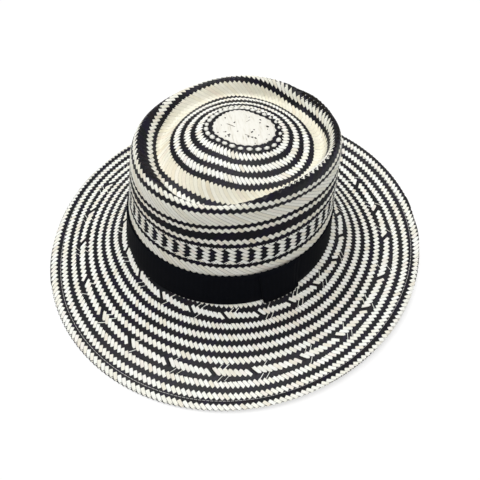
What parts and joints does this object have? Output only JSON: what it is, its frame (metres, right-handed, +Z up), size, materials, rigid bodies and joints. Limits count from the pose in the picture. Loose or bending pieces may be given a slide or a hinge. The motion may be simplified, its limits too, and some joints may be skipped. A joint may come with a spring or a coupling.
{
  "type": "wide-brim straw hat",
  "caption": "Woven straw hat with a hollow oval crown dented round its top, a wide dipping brim with a folded edge, and a plain dark ribbon with a flat tab bow.",
  "frame": {"origin": "bottom centre of the bounding box, on the surface that the brim rests on", "axes": "+Z up, through the crown's top; +X along the long side of the head oval; -Y to the side where the bow is"},
  "size_m": [0.3572, 0.3462, 0.1414],
  "materials": {
    "crown_straw": "matte woven straw, cream with dark bands",
    "brim_straw": "matte woven straw, cream and dark rings",
    "ribbon": "matte ribbed ribbon",
    "bow": "matte ribbed ribbon"
  },
  "bodies": {
    "root": {"crown": "crown_straw", "brim": "brim_straw", "ribbon_band": "ribbon", "bow_tab": "bow"}
  },
  "joints": []
}
